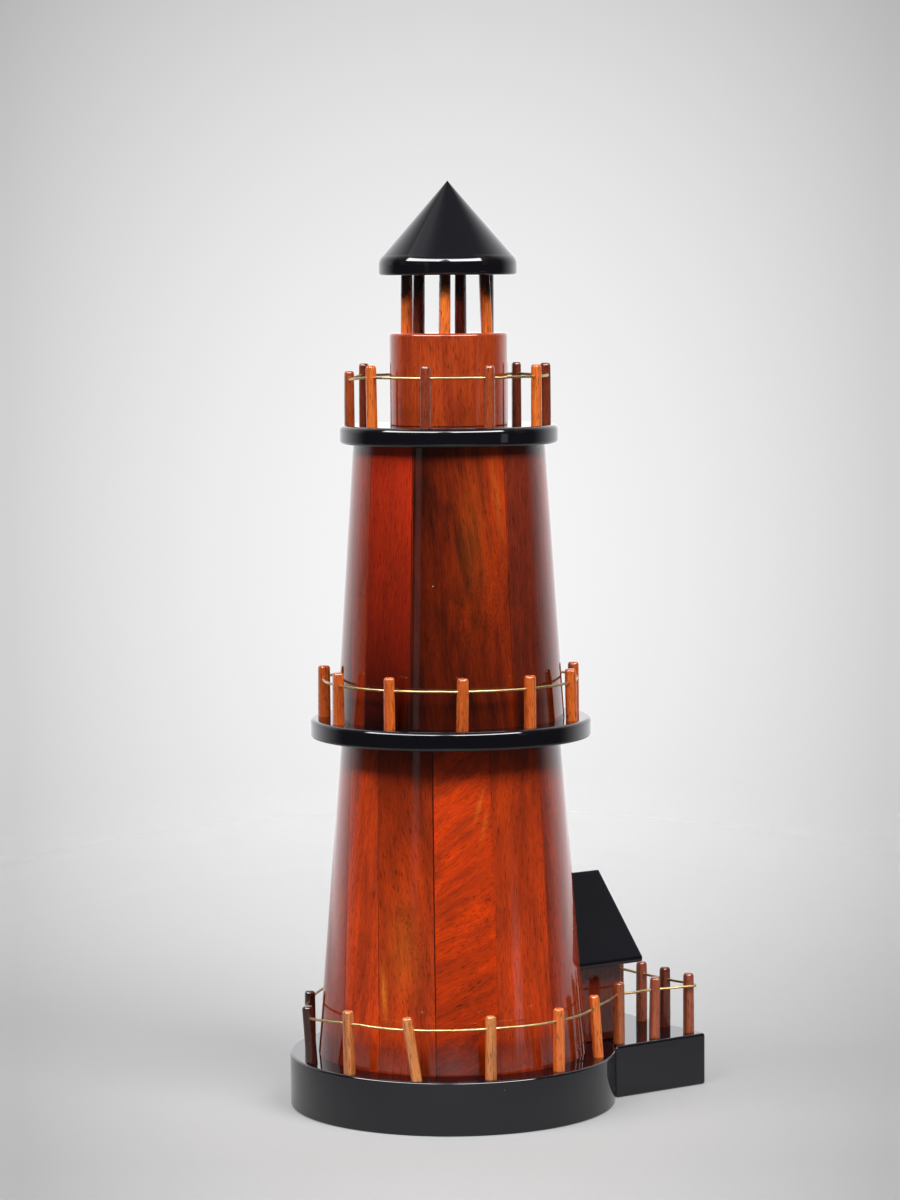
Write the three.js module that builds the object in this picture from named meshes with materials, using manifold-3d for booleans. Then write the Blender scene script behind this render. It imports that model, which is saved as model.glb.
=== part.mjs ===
// A wooden lighthouse ornament: two tapered towers between black lacquered discs, three railed
// galleries, an open lantern under a conical roof, and a keeper's house on a terrace at its side.
// Millimetres, +Z up. The origin is on the underside of the base, on the axis of the tower, and
// +X points from the tower towards the keeper's house. Everything is glued, so nothing moves.
import * as THREE from "three";
import { mergeVertices } from "three/addons/utils/BufferGeometryUtils.js";
import Module from "manifold-3d";

const wasm = await Module();
wasm.setup();

// ---- Driving dimensions ----
const GAP = 0.3; // clearance round a peg in its socket, and where one piece is shaped to another
const ROUND_SIDES = 48; // facets round the discs, towers and roof
const PEG_SIDES = 8; // facets round a post, a pillar or its socket

const BASE = { radius: 71, height: 23, edge: 0.9 };
const LOWER_TOWER = { footRadius: 58.6, topRadius: 47.5, height: 138 };
const MIDDLE_DISC = { radius: 61, height: 8, edge: 1.0 };
const UPPER_TOWER = { footRadius: 49.4, topRadius: 41.5, height: 118.5 };
const TOP_DISC = { radius: 47.2, height: 8, edge: 1.6 };
const DRUM = { radius: 25.4, height: 39.5, edge: 0.8 };
const PILLAR = { radius: 2.5, height: 24.6, ring: 18.2, tenon: 4 };
const ROOF = { radius: 29.8, height: 40.4, edge: 1.0, brim: 4.2, shoulder: 2.6, tip: 0.7 };
const DOWEL = { radius: 5, sunk: 14 }; // the spine that lines up the towers and discs

const TERRACE = { length: 109.5, halfWidth: 39.8, corner: 1.2, edge: 0.9 }; // length from the tower's axis
const HOUSE = { length: 73.4, halfWidth: 25, height: 34.2 };
const HOUSE_ROOF = { length: 80.4, halfWidth: 32, rise: 37.4, fascia: 2.4, ridge: 0.8 };
const HOUSE_START = 30; // where the house blocks begin, inside the tower, before it is cut out of them

const TENON = 4; // how far a post is let into its deck
const WIRE = { radius: 0.5, sides: 6, hole: 0.95 }; // hole: radius of the holes that it is threaded through

// Rails. ring: the circle that the posts stand on. wireHeight: from the deck to the wire.
const BASE_RAIL = { ring: 66.5, radius: 2.25, height: 27, wireHeight: 21.5 };
const MIDDLE_RAIL = { ring: 55, radius: 2.65, height: 22.3, wireHeight: 16.6 };
const TOP_RAIL = { ring: 42.8, radius: 2.15, height: 26.2, wireHeight: 21 };

// ---- Where the hand-set posts stand, anticlockwise from above ----
// angle: round the deck from +X, in degrees. along: degrees of lean towards the next post.
// out: degrees of lean away from the tower. A post can have its own ring, height or wireHeight.
const BASE_POSTS_WEST = [
  { angle: 108 },
  { angle: 138, ring: 63, height: 24.5, wireHeight: 19.5 },
  { angle: 170.5, ring: 67, height: 25, wireHeight: 20, out: 4.5 },
  { angle: 194.5, ring: 67.4, along: -1.5 },
  { angle: 222, ring: 67.8, along: -9 },
  { angle: 249, ring: 66 },
  { angle: 278, ring: 66 },
  { angle: 307.5, ring: 65.8, out: -4 },
];
const TERRACE_POSTS = [
  { x: 65.4, y: -34 },
  { x: 85, y: -34, along: 1 },
  { x: 104.5, y: -34, along: -1.5, corner: true },
  { x: 104.5, y: -17 },
  { x: 104.5, y: 0 },
  { x: 104.5, y: 17 },
  { x: 104.5, y: 34, corner: true },
  { x: 85, y: 34 },
  { x: 65.4, y: 34 },
];
const BASE_POSTS_EAST = [{ angle: 50 }, { angle: 78 }];
const MIDDLE_POSTS = [
  { angle: 76 },
  { angle: 109 },
  { angle: 141.5 },
  { angle: 174.5 },
  { angle: 207 },
  { angle: 240, along: 1 },
  { angle: 272.5 },
  { angle: 305.5, out: -1.5 },
  { angle: 338 },
  { angle: 371 },
  { angle: 403.5 },
];
const TOP_POSTS = [
  { angle: 80 },
  { angle: 114.5 },
  { angle: 145, height: 23.4, wireHeight: 19.5 },
  { angle: 185.5, along: -1 },
  { angle: 222 },
  { angle: 258.5 },
  { angle: 295.5 },
  { angle: 337 },
  { angle: 371 },
  { angle: 405 },
];
const PILLARS = [
  { angle: 37 },
  { angle: 99 },
  { angle: 161 },
  { angle: 230.5 },
  { angle: 301.5, out: -3.5 },
  { angle: 343 },
];

// ---- Heights of the stack ----
const MIDDLE_DISC_Z = BASE.height + LOWER_TOWER.height;
const MIDDLE_DECK = MIDDLE_DISC_Z + MIDDLE_DISC.height;
const TOP_DISC_Z = MIDDLE_DECK + UPPER_TOWER.height;
const TOP_DECK = TOP_DISC_Z + TOP_DISC.height;
const DRUM_TOP = TOP_DECK + DRUM.height;
const ROOF_Z = DRUM_TOP + PILLAR.height;

// ---- Finishes ----
const finish = (color, roughness, metalness = 0) =>
  new THREE.MeshStandardMaterial({ color, roughness, metalness });
const TOWER_WOOD = finish(0x8a2c12, 0.2);
const POST_WOOD = finish(0xb5622c, 0.35);
const BLACK_LACQUER = finish(0x0b0b0d, 0.12);
const BRASS = finish(0xb89a5e, 0.35, 1);
const DOWEL_WOOD = finish(0xcaa877, 0.7);

const lighthouse = new THREE.Group();

function addPart(name, geometry, material, parent = lighthouse) {
  const mesh = new THREE.Mesh(geometry, material);
  mesh.name = name;
  parent.add(mesh);
  return mesh;
}

// A group whose own z = 0 is a deck's surface.
function deckGroup(z) {
  const group = new THREE.Group();
  group.position.z = z;
  lighthouse.add(group);
  return group;
}

// ---- Cutting one closed geometry out of another ----
function toSolid(geometry) {
  const bare = new THREE.BufferGeometry().setAttribute("position", geometry.attributes.position);
  bare.setIndex(geometry.index);
  const merged = mergeVertices(bare, 1e-4);
  return new wasm.Manifold(
    new wasm.Mesh({
      numProp: 3,
      vertProperties: new Float32Array(merged.attributes.position.array),
      triVerts: new Uint32Array(merged.index.array),
    }),
  );
}

function cut(geometry, cutters) {
  const left = cutters.reduce((solid, cutter) => solid.subtract(toSolid(cutter)), toSolid(geometry));
  const mesh = left.getMesh();
  return new THREE.BufferGeometry()
    .setAttribute("position", new THREE.BufferAttribute(new Float32Array(mesh.vertProperties), 3))
    .setIndex(new THREE.BufferAttribute(new Uint32Array(mesh.triVerts), 1));
}

// ---- Round pieces, turned about Z from an outline of (radius, height) ----
function turned(outline, sides) {
  return new THREE.LatheGeometry(outline.getPoints(1), sides).rotateX(Math.PI / 2);
}

// A disc standing on z, with both rims rounded.
function discGeometry({ radius, height, edge }, z) {
  const outline = new THREE.Path().moveTo(0, z).lineTo(radius - edge, z);
  outline.absarc(radius - edge, z + edge, edge, -Math.PI / 2, 0);
  outline.absarc(radius - edge, z + height - edge, edge, 0, Math.PI / 2);
  outline.lineTo(0, z + height);
  return turned(outline, ROUND_SIDES);
}

// A tapered tower standing on z. grow makes the larger one that is cut out of the house.
function towerGeometry({ footRadius, topRadius, height }, z, grow = 0) {
  const outline = new THREE.Path().moveTo(0, z).lineTo(footRadius + grow, z);
  outline.lineTo(topRadius + grow, z + height).lineTo(0, z + height);
  return turned(outline, ROUND_SIDES);
}

function rodGeometry(radius, low, high, sides = PEG_SIDES) {
  return new THREE.CylinderGeometry(radius, radius, high - low, sides)
    .rotateX(Math.PI / 2)
    .translate(0, 0, (low + high) / 2);
}

const boreGeometry = (low, high) => rodGeometry(DOWEL.radius + GAP, low, high, 2 * PEG_SIDES);

// A whittled peg with a domed top. It stands on z = 0 with its tenon below.
function postGeometry(radius, height) {
  const outline = new THREE.Path().moveTo(0, -TENON).lineTo(radius, -TENON);
  outline.lineTo(radius, height - radius * 0.55).lineTo(radius * 0.7, height - radius * 0.15);
  outline.lineTo(0, height);
  return turned(outline, PEG_SIDES);
}

// ---- Rails: posts let into a deck, joined by one loop of wire ----
// Turns a mesh so that its own +X faces away from the tower or the house, leans it and stands it.
function stand(mesh, { angle, x, y, along = 0, out = 0, facing = angle }, ring) {
  const turn = THREE.MathUtils.degToRad(facing);
  mesh.position.set(x ?? ring * Math.cos(turn), y ?? ring * Math.sin(turn), 0);
  mesh.rotation.set(-THREE.MathUtils.degToRad(along), THREE.MathUtils.degToRad(out), turn, "ZYX");
  mesh.updateMatrix();
}

// Stands the posts on a deck. Each comes back with its socket and the middle of its wire hole.
function buildPosts(prefix, rail, posts, deck) {
  return posts.map((own, i) => {
    const post = { ...rail, ...own };
    const name = `${prefix}_post_${String(i + 1).padStart(2, "0")}`;
    const mesh = addPart(name, postGeometry(post.radius, post.height), POST_WOOD, deck);
    stand(mesh, post, post.ring);
    const socket = rodGeometry(post.radius + GAP, -TENON - GAP, 10).applyMatrix4(mesh.matrix);
    const hole = new THREE.Vector3(0, 0, post.wireHeight).applyMatrix4(mesh.matrix);
    return { post, mesh, socket, hole };
  });
}

// Where the wire passes a post: through its middle, or round the outside of a corner post.
function wireAtPost({ post, hole }) {
  if (!post.corner) return [hole];
  const reach = post.radius + GAP + WIRE.radius;
  return [-54, -27, 0, 27, 54].map((turn) => {
    const angle = THREE.MathUtils.degToRad(post.facing + turn);
    return new THREE.Vector3(reach * Math.cos(angle), reach * Math.sin(angle), 0).add(hole);
  });
}

// The loop that the wire follows. Between two posts round the tower it bows out to their circle.
function wireCurve(set) {
  const stops = set.map(wireAtPost);
  const points = stops.flatMap((stop, i) => {
    const j = (i + 1) % stops.length;
    const from = stop.at(-1);
    const to = stops[j][0];
    const middle = from.clone().lerp(to, 0.5);
    if (set[i].post.angle !== undefined && set[j].post.angle !== undefined) {
      const bow = (Math.hypot(from.x, from.y) + Math.hypot(to.x, to.y)) / 2 / Math.hypot(middle.x, middle.y);
      middle.multiply(new THREE.Vector3(bow, bow, 1));
    }
    return [...stop, middle];
  });
  return new THREE.CatmullRomCurve3(points, true, "centripetal");
}

// A closed tube along a level loop, two lengths to each of the loop's points.
function wireGeometry(curve) {
  const rings = 2 * curve.points.length;
  const { radius, sides } = WIRE;
  const positions = [];
  const index = [];
  for (let i = 0; i < rings; i++) {
    const centre = curve.getPoint(i / rings);
    const forward = curve.getTangent(i / rings);
    const left = new THREE.Vector3(0, 0, 1).cross(forward).normalize();
    const up = forward.clone().cross(left);
    for (let k = 0; k < sides; k++) {
      const turn = (2 * Math.PI * k) / sides;
      const corner = centre.clone();
      corner.addScaledVector(left, radius * Math.cos(turn)).addScaledVector(up, radius * Math.sin(turn));
      positions.push(...corner);
      const here = [i * sides + k, i * sides + ((k + 1) % sides)];
      const there = here.map((vertex) => (vertex + sides) % (rings * sides));
      index.push(here[0], here[1], there[1], here[0], there[1], there[0]);
    }
  }
  return new THREE.BufferGeometry()
    .setAttribute("position", new THREE.Float32BufferAttribute(positions, 3))
    .setIndex(index);
}

// Joins posts with a wire, and drills each post along it.
function buildWire(name, set, deck) {
  const curve = wireCurve(set);
  addPart(name, wireGeometry(curve), BRASS, deck);
  const threaded = set.filter(({ post }) => !post.corner);
  threaded.forEach(({ post, mesh, hole }) => {
    const forward = curve.getTangent(curve.points.indexOf(hole) / curve.points.length);
    const drill = rodGeometry(WIRE.hole, -2 * post.radius, 2 * post.radius)
      .applyQuaternion(new THREE.Quaternion().setFromUnitVectors(new THREE.Vector3(0, 0, 1), forward))
      .translate(...hole)
      .applyMatrix4(mesh.matrix.clone().invert());
    mesh.geometry = cut(mesh.geometry, [drill]);
  });
}

const socketsAt = (z, set) => set.map(({ socket }) => socket.clone().translate(0, 0, z));

// ---- The base, the terrace and the rail round both ----
// A terrace post faces out of the side that it stands on, or out of its corner.
const terracePosts = TERRACE_POSTS.map((post) => {
  const side = Math.sign(post.y) * 90;
  const facing = post.corner ? side / 2 : side * (post.x < TERRACE.length - 10);
  return { ...post, facing };
});

const baseDeck = deckGroup(BASE.height);
const basePosts = [...BASE_POSTS_WEST, ...BASE_POSTS_EAST];
const baseSet = buildPosts("base", BASE_RAIL, basePosts, baseDeck);
const terraceSet = buildPosts("terrace", BASE_RAIL, terracePosts, baseDeck);
const west = baseSet.slice(0, BASE_POSTS_WEST.length);
const east = baseSet.slice(BASE_POSTS_WEST.length);
buildWire("base_rail_wire", [...west, ...terraceSet, ...east], baseDeck);

const baseBore = boreGeometry(BASE.height - DOWEL.sunk, BASE.height + 1);
addPart(
  "base_disc",
  cut(discGeometry(BASE, 0), [baseBore, ...socketsAt(BASE.height, baseSet)]),
  BLACK_LACQUER,
);

function terraceGeometry() {
  const { length, halfWidth, corner, edge } = TERRACE;
  const right = length - edge - corner;
  const top = halfWidth - edge - corner;
  const outline = new THREE.Shape().moveTo(HOUSE_START, top + corner);
  outline.lineTo(HOUSE_START, -top - corner);
  outline.absarc(right, -top, corner, -Math.PI / 2, 0);
  outline.absarc(right, top, corner, 0, Math.PI / 2);
  return new THREE.ExtrudeGeometry(outline, {
    depth: BASE.height - 2 * edge,
    bevelThickness: edge,
    bevelSize: edge,
    bevelSegments: 1,
    curveSegments: 2,
  }).translate(0, 0, edge);
}

const baseCutter = rodGeometry(BASE.radius + GAP, -1, BASE.height + 1, ROUND_SIDES);
addPart(
  "terrace_block",
  cut(terraceGeometry(), [baseCutter, ...socketsAt(BASE.height, terraceSet)]),
  BLACK_LACQUER,
);

// ---- Towers and their galleries ----
function buildGallery(name, disc, discZ, rail, posts) {
  const deckZ = discZ + disc.height;
  const deck = deckGroup(deckZ);
  const set = buildPosts(name, rail, posts, deck);
  buildWire(`${name}_rail_wire`, set, deck);
  const cutters = [boreGeometry(discZ - 1, deckZ + 1), ...socketsAt(deckZ, set)];
  addPart(`${name}_disc`, cut(discGeometry(disc, discZ), cutters), BLACK_LACQUER);
}

function buildTower(name, tower, z) {
  const bore = boreGeometry(z - 1, z + tower.height + 1);
  addPart(name, cut(towerGeometry(tower, z), [bore]), TOWER_WOOD);
}

buildTower("lower_tower", LOWER_TOWER, BASE.height);
buildGallery("middle", MIDDLE_DISC, MIDDLE_DISC_Z, MIDDLE_RAIL, MIDDLE_POSTS);
buildTower("upper_tower", UPPER_TOWER, MIDDLE_DECK);
buildGallery("top", TOP_DISC, TOP_DISC_Z, TOP_RAIL, TOP_POSTS);

const dowelLow = BASE.height - DOWEL.sunk + GAP;
const dowelHigh = TOP_DECK + DOWEL.sunk - GAP;
addPart("centre_dowel", rodGeometry(DOWEL.radius, dowelLow, dowelHigh, 2 * PEG_SIDES), DOWEL_WOOD);

// ---- The lantern: pillars between the drum and the roof ----
const pillarGroup = deckGroup(DRUM_TOP);
const pillarSockets = PILLARS.map((pillar, i) => {
  const low = -PILLAR.tenon;
  const high = PILLAR.height + PILLAR.tenon;
  const name = `lantern_pillar_${i + 1}`;
  const mesh = addPart(name, rodGeometry(PILLAR.radius, low, high), TOWER_WOOD, pillarGroup);
  stand(mesh, pillar, PILLAR.ring);
  return rodGeometry(PILLAR.radius + GAP, low - GAP, high + GAP)
    .applyMatrix4(mesh.matrix)
    .translate(0, 0, DRUM_TOP);
});

const drumBore = boreGeometry(TOP_DECK - 1, TOP_DECK + DOWEL.sunk);
addPart("lantern_drum", cut(discGeometry(DRUM, TOP_DECK), [drumBore, ...pillarSockets]), TOWER_WOOD);

// A low upright brim, then a round shoulder that runs into a straight cone.
function roofGeometry() {
  const { radius, height, edge, brim, shoulder, tip } = ROOF;
  const halfAngle = Math.atan2(radius, height - brim);
  const outline = new THREE.Path().moveTo(0, ROOF_Z).lineTo(radius - edge, ROOF_Z);
  outline.absarc(radius - edge, ROOF_Z + edge, edge, -Math.PI / 2, 0);
  outline.absarc(radius - shoulder, ROOF_Z + brim, shoulder, 0, Math.PI / 2 - halfAngle);
  outline.lineTo(tip, ROOF_Z + height - tip / 2).lineTo(0, ROOF_Z + height);
  return turned(outline, ROUND_SIDES);
}
addPart("roof_cone", cut(roofGeometry(), pillarSockets), BLACK_LACQUER);

// ---- The keeper's house, with its inner end shaped to the tower ----
const towerCutter = towerGeometry(LOWER_TOWER, BASE.height, GAP);

// A block with an outline of (y, z), running along X from inside the tower.
function blockAlongX(outline, length) {
  const shape = new THREE.Shape(outline.map(([y, z]) => new THREE.Vector2(y, z)));
  const swing = new THREE.Matrix4().set(0, 0, 1, HOUSE_START, 1, 0, 0, 0, 0, 1, 0, 0, 0, 0, 0, 1);
  return new THREE.ExtrudeGeometry(shape, { depth: length - HOUSE_START, bevelEnabled: false })
    .applyMatrix4(swing);
}

const wallTop = BASE.height + HOUSE.height;
const walls = [
  [-HOUSE.halfWidth, BASE.height],
  [HOUSE.halfWidth, BASE.height],
  [HOUSE.halfWidth, wallTop],
  [-HOUSE.halfWidth, wallTop],
];
const gable = [
  [-HOUSE_ROOF.halfWidth, wallTop],
  [HOUSE_ROOF.halfWidth, wallTop],
  [HOUSE_ROOF.halfWidth, wallTop + HOUSE_ROOF.fascia],
  [HOUSE_ROOF.ridge, wallTop + HOUSE_ROOF.rise],
  [-HOUSE_ROOF.ridge, wallTop + HOUSE_ROOF.rise],
  [-HOUSE_ROOF.halfWidth, wallTop + HOUSE_ROOF.fascia],
];
addPart("house_body", cut(blockAlongX(walls, HOUSE.length), [towerCutter]), TOWER_WOOD);
addPart("house_roof", cut(blockAlongX(gable, HOUSE_ROOF.length), [towerCutter]), BLACK_LACQUER);

export default lighthouse;
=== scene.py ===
# %% [markdown]
# # A lacquered wooden lighthouse
#
# The object is a tabletop souvenir. A maker glues boards into two blocks, turns them on a lathe
# into tapered towers, stacks them between black discs, and rails each disc with whittled pegs
# threaded on brass wire. A small house stands on a terrace at its side. Everything is then
# sprayed with several coats of clear or black lacquer and polished until it reflects the room.
#
# The CAD frame gives every size and place. This lesson makes the surfaces that a faceted solid
# can't show: true round turnings, the boards in each tower, rounded lacquered edges, and wood.

# %% Load the frame
import math
from collections import namedtuple

import bmesh
import bpy
import numpy as np
from mathutils import Matrix, Vector, noise


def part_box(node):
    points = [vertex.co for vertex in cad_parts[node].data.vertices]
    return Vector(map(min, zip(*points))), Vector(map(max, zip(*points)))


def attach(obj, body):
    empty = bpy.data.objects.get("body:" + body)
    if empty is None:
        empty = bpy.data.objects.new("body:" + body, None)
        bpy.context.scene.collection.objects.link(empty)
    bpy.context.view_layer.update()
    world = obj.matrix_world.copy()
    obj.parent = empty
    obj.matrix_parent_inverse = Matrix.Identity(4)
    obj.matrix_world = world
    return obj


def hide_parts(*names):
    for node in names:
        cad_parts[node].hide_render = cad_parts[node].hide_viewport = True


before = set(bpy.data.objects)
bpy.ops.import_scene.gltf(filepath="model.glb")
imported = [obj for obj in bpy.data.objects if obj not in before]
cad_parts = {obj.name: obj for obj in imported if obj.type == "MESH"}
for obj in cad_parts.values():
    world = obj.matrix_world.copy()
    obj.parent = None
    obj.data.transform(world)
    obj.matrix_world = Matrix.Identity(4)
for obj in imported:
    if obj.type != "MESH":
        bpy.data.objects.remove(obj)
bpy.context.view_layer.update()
MM = 0.001


def put_in_scene(name, data):
    """A new object that holds some data, linked to the scene."""
    made = bpy.data.objects.new(name, data)
    bpy.context.scene.collection.objects.link(made)
    return made


# %% [markdown]
# ## Camera
#
# The lighthouse is seen from the front left, a little above half its height, with a long lens.
# A long lens from far away keeps the tower's sides nearly parallel. The camera is turned a
# little about its own axis, so that level edges rise slightly to the right.

# %% The camera
CAMERA_DISTANCE = 1.6067
CAMERA_HEIGHT = 0.354
CAMERA_AZIMUTH = math.radians(-35)
CAMERA_PITCH = math.radians(-4.78)
CAMERA_ROLL = math.radians(-0.37)
FOCAL_LENGTH = 111.8

lens = bpy.data.cameras.new("camera")
lens.lens = FOCAL_LENGTH
lens.sensor_width = 36
lens.clip_start = 0.05
camera = put_in_scene("camera", lens)
bpy.context.scene.camera = camera
swing = Matrix.Rotation(CAMERA_AZIMUTH, 4, "Z")
camera.matrix_world = (
    swing
    @ Matrix.Translation((0, -CAMERA_DISTANCE, CAMERA_HEIGHT))
    @ Matrix.Rotation(math.pi / 2 + CAMERA_PITCH, 4, "X")
    @ Matrix.Rotation(CAMERA_ROLL, 4, "Z")
)
print("camera at", [round(v, 3) for v in camera.matrix_world.translation])

# %% [markdown]
# ## Reading the frame
#
# Each CAD node is a mesh of loose triangles whose vertices are already in place. A few small
# readings are enough to rebuild a piece round it: its heights, its radius at a height, and for
# a peg, the line down its middle.

# %% Readings from CAD nodes
def corners(node):
    """A node's vertices as rows of x, y, z."""
    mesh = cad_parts[node].data
    flat = np.empty(3 * len(mesh.vertices))
    mesh.vertices.foreach_get("co", flat)
    return np.unique(flat.reshape(-1, 3).round(7), axis=0)


def heights(node):
    low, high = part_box(node)
    return low[2], high[2]


def radius_at(node, z, reach=0.4 * MM):
    """The largest distance from the axis among a node's vertices near a height."""
    points = corners(node)
    near = points[abs(points[:, 2] - z) < reach]
    return float(np.hypot(near[:, 0], near[:, 1]).max())


def peg_line(node):
    """Where a peg's middle starts, in its socket, and the middle of its top."""
    points = corners(node)
    top = points[points[:, 2].argmax()]
    foot = points[points[:, 2] < points[:, 2].min() + 1.2 * MM]
    foot_ring = foot[np.hypot(*(foot - foot.mean(axis=0))[:, :2].T) > 1 * MM]
    return Vector(foot_ring.mean(axis=0)), Vector(top)


print("lower tower foot radius", round(radius_at("lower_tower", heights("lower_tower")[0]), 4))

# %% [markdown]
# ## Node helpers
#
# Both shaders and geometry are wired from nodes, so one short function makes a node, sets its
# options and fills its sockets, with a link where it is given another node's output.

# %% Making nodes
def fill(tree, node, inputs):
    """Fills sockets, by name or index, with a value or a link from another node's output."""
    for key, value in inputs.items():
        if isinstance(value, bpy.types.NodeSocket):
            tree.links.new(value, node.inputs[key])
        else:
            node.inputs[key].default_value = value


def add(tree, kind, inputs=None, **options):
    """A new node with its options set and its sockets filled."""
    made = tree.nodes.new(kind)
    for option, value in options.items():
        setattr(made, option, value)
    fill(tree, made, inputs or {})
    return made


def first(tree, kind, inputs=None, **options):
    """The first output of a new node."""
    return add(tree, kind, inputs, **options).outputs[0]


def maths(tree, operation, a, b=0.0, clamp=False):
    return first(tree, "ShaderNodeMath", {0: a, 1: b}, operation=operation, use_clamp=clamp)


def vector_maths(tree, operation, a, b=(0, 0, 0), output=0):
    """Arithmetic on vectors, where b is a number if a is only scaled."""
    second = "Scale" if operation == "SCALE" else 1
    made = add(tree, "ShaderNodeVectorMath", {0: a, second: b}, operation=operation)
    return made.outputs[output]


def ramp(tree, value, low, high, to_low=0.0, to_high=1.0, **options):
    """value moved from the range low to high onto another range, and held inside it."""
    limits = {"From Min": low, "From Max": high, "To Min": to_low, "To Max": to_high}
    return first(tree, "ShaderNodeMapRange", {"Value": value, **limits}, **options)


def blend_colour(tree, amount, a, b, kind="MIX"):
    made = add(tree, "ShaderNodeMix", {0: amount, 6: a, 7: b}, data_type="RGBA", blend_type=kind)
    return made.outputs[2]


def grey(tree, value):
    return first(tree, "ShaderNodeCombineColor", {0: value, 1: value, 2: value})


def streaks(tree, vector, stretch, detail=3.0, roughness=0.6):
    """Noise on a vector that is first scaled differently along each axis."""
    scaled = vector_maths(tree, "MULTIPLY", vector, stretch)
    settings = {"Vector": scaled, "Scale": 1.0, "Detail": detail, "Roughness": roughness}
    return add(tree, "ShaderNodeTexNoise", settings).outputs["Fac"]


def new_group(name, kind, ins, outs):
    """An empty node group: its tree, the outputs it is given, and the node for its results."""
    tree = bpy.data.node_groups.new(name, kind)
    for way, sockets in (("INPUT", ins), ("OUTPUT", outs)):
        for label, socket in sockets.items():
            tree.interface.new_socket(label, in_out=way, socket_type=socket)
    return tree, tree.nodes.new("NodeGroupInput").outputs, tree.nodes.new("NodeGroupOutput")


FLOAT, VECTOR, COLOUR = "NodeSocketFloat", "NodeSocketVector", "NodeSocketColor"
print("node helpers ready")

# %% [markdown]
# ## Wood
#
# The boards are dense tropical hardwood: broad bands of light and dark growth, finer streaks
# inside them, and short open pores that follow the grain. All three are the same noise with
# different stretches along the board. The pattern is worked out in the board's own coordinates,
# metres across, through and along it, so it can be tilted or shifted for each board. One group
# holds it, because the towers, the drum, the house and every peg are cut from such boards.

# %% The wood group
PORE_SHADE = (0.018, 0.004, 0.002, 1)
GLUE_SHADE = (0.02, 0.004, 0.002, 1)

tree, given, result = new_group(
    "Hardwood",
    "ShaderNodeTree",
    {
        "Board": VECTOR,
        "Light wood": COLOUR,
        "Dark wood": COLOUR,
        "Band width": FLOAT,
        "Pore depth": FLOAT,
        "Swirl": FLOAT,
        "Seam": FLOAT,
    },
    {"Colour": COLOUR, "Height": FLOAT, "Roughness": FLOAT},
)
board = given["Board"]
wander = maths(tree, "SUBTRACT", streaks(tree, board, (22, 22, 9), detail=2), 0.5)
sway = maths(tree, "MULTIPLY", wander, maths(tree, "MULTIPLY", given["Swirl"], 0.011))
shift = first(tree, "ShaderNodeCombineXYZ", {"X": sway, "Y": sway})
grain = vector_maths(tree, "ADD", board, shift)
banded = vector_maths(tree, "SCALE", grain, given["Band width"])
bands = streaks(tree, banded, (95, 95, 5), roughness=0.55)
fine = streaks(tree, grain, (480, 480, 16), roughness=0.65)
mottle = streaks(tree, board, (95, 95, 42))
fibres = streaks(tree, grain, (1900, 1900, 70), detail=2, roughness=0.5)
pores = streaks(tree, grain, (2300, 2300, 230), detail=1, roughness=0.5)

banding = ramp(tree, bands, 0.38, 0.62, 0.0, 0.50)
streaking = ramp(tree, fine, 0.36, 0.64, 0.0, 0.30)
mottling = ramp(tree, mottle, 0.38, 0.62, 0.0, 0.32)
share = maths(tree, "ADD", maths(tree, "ADD", banding, streaking), mottling, clamp=True)
grown = blend_colour(tree, share, given["Dark wood"], given["Light wood"])
hair = grey(tree, ramp(tree, fibres, 0.3, 0.7, 0.82, 1.16))
hairy = blend_colour(tree, 1.0, grown, hair, "MULTIPLY")
pore = maths(tree, "MULTIPLY", ramp(tree, pores, 0.58, 0.72), given["Pore depth"], clamp=True)
pored = blend_colour(tree, pore, hairy, PORE_SHADE)
glue = ramp(tree, given["Seam"], 0.15, 0.6, 0.0, 0.9)
grain_results = {
    "Colour": blend_colour(tree, glue, pored, GLUE_SHADE),
    "Height": maths(tree, "SUBTRACT", fine, pore),
    "Roughness": ramp(tree, fibres, 0.3, 0.7, 0.34, 0.5),
}
fill(tree, result, grain_results)
wood_group = tree
print("wood group:", len(tree.nodes), "nodes")

# %% [markdown]
# ## Dust
#
# A gloss finish shows every speck. A few grains of dust lie on it, each a fraction of a
# millimetre across. Cells of random points, kept only close to their centres and only in some
# of the cells, give specks that never line up.

# %% The dust group
tree, given, result = new_group(
    "Dust", "ShaderNodeTree", {"Place": VECTOR, "Amount": FLOAT}, {"Specks": FLOAT}
)
cells = add(tree, "ShaderNodeTexVoronoi", {"Vector": given["Place"], "Scale": 190.0}).outputs
speck = ramp(tree, cells["Distance"], 0.035, 0.055, 1.0, 0.0)
lot = first(tree, "ShaderNodeSeparateColor", {0: cells["Color"]})
kept = maths(tree, "LESS_THAN", lot, given["Amount"])
fill(tree, result, {"Specks": maths(tree, "MULTIPLY", speck, kept)})
dust_group = tree
print("dust group:", len(tree.nodes), "nodes")

# %% [markdown]
# ## Finishes
#
# Clear lacquer on wood is two layers: the wood below scatters colour, and the hard clear coat
# above mirrors the room, faintly where it is seen square on and strongly at a glancing angle.
# The Principled shader's coat does exactly this. The wood's own relief goes to the shader's
# normal, which the coat ignores, so the film stays smooth over the pores. Black lacquer is the
# same film over a black ground. The pegs were dipped and never rubbed down: their film
# has sagged into small lumps, so there the relief goes to the surface that shines.

# %% Lacquered wood
COAT_IOR = 1.52
DUST_TONE = (0.42, 0.38, 0.34, 1)
# Near black for the painted shade of the roof's shadow on the pillars.
ROOF_SHADE_BLACK = (0.006, 0.004, 0.004, 1)


def new_material(name):
    made = bpy.data.materials.new(name)
    made.use_nodes = True
    tree = made.node_tree
    return made, tree, tree.nodes["Principled BSDF"]


def place_of(tree):
    return add(tree, "ShaderNodeTexCoord").outputs["Object"]


def attribute(tree, name, output="Vector"):
    return add(tree, "ShaderNodeAttribute", attribute_name=name).outputs[output]


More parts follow.
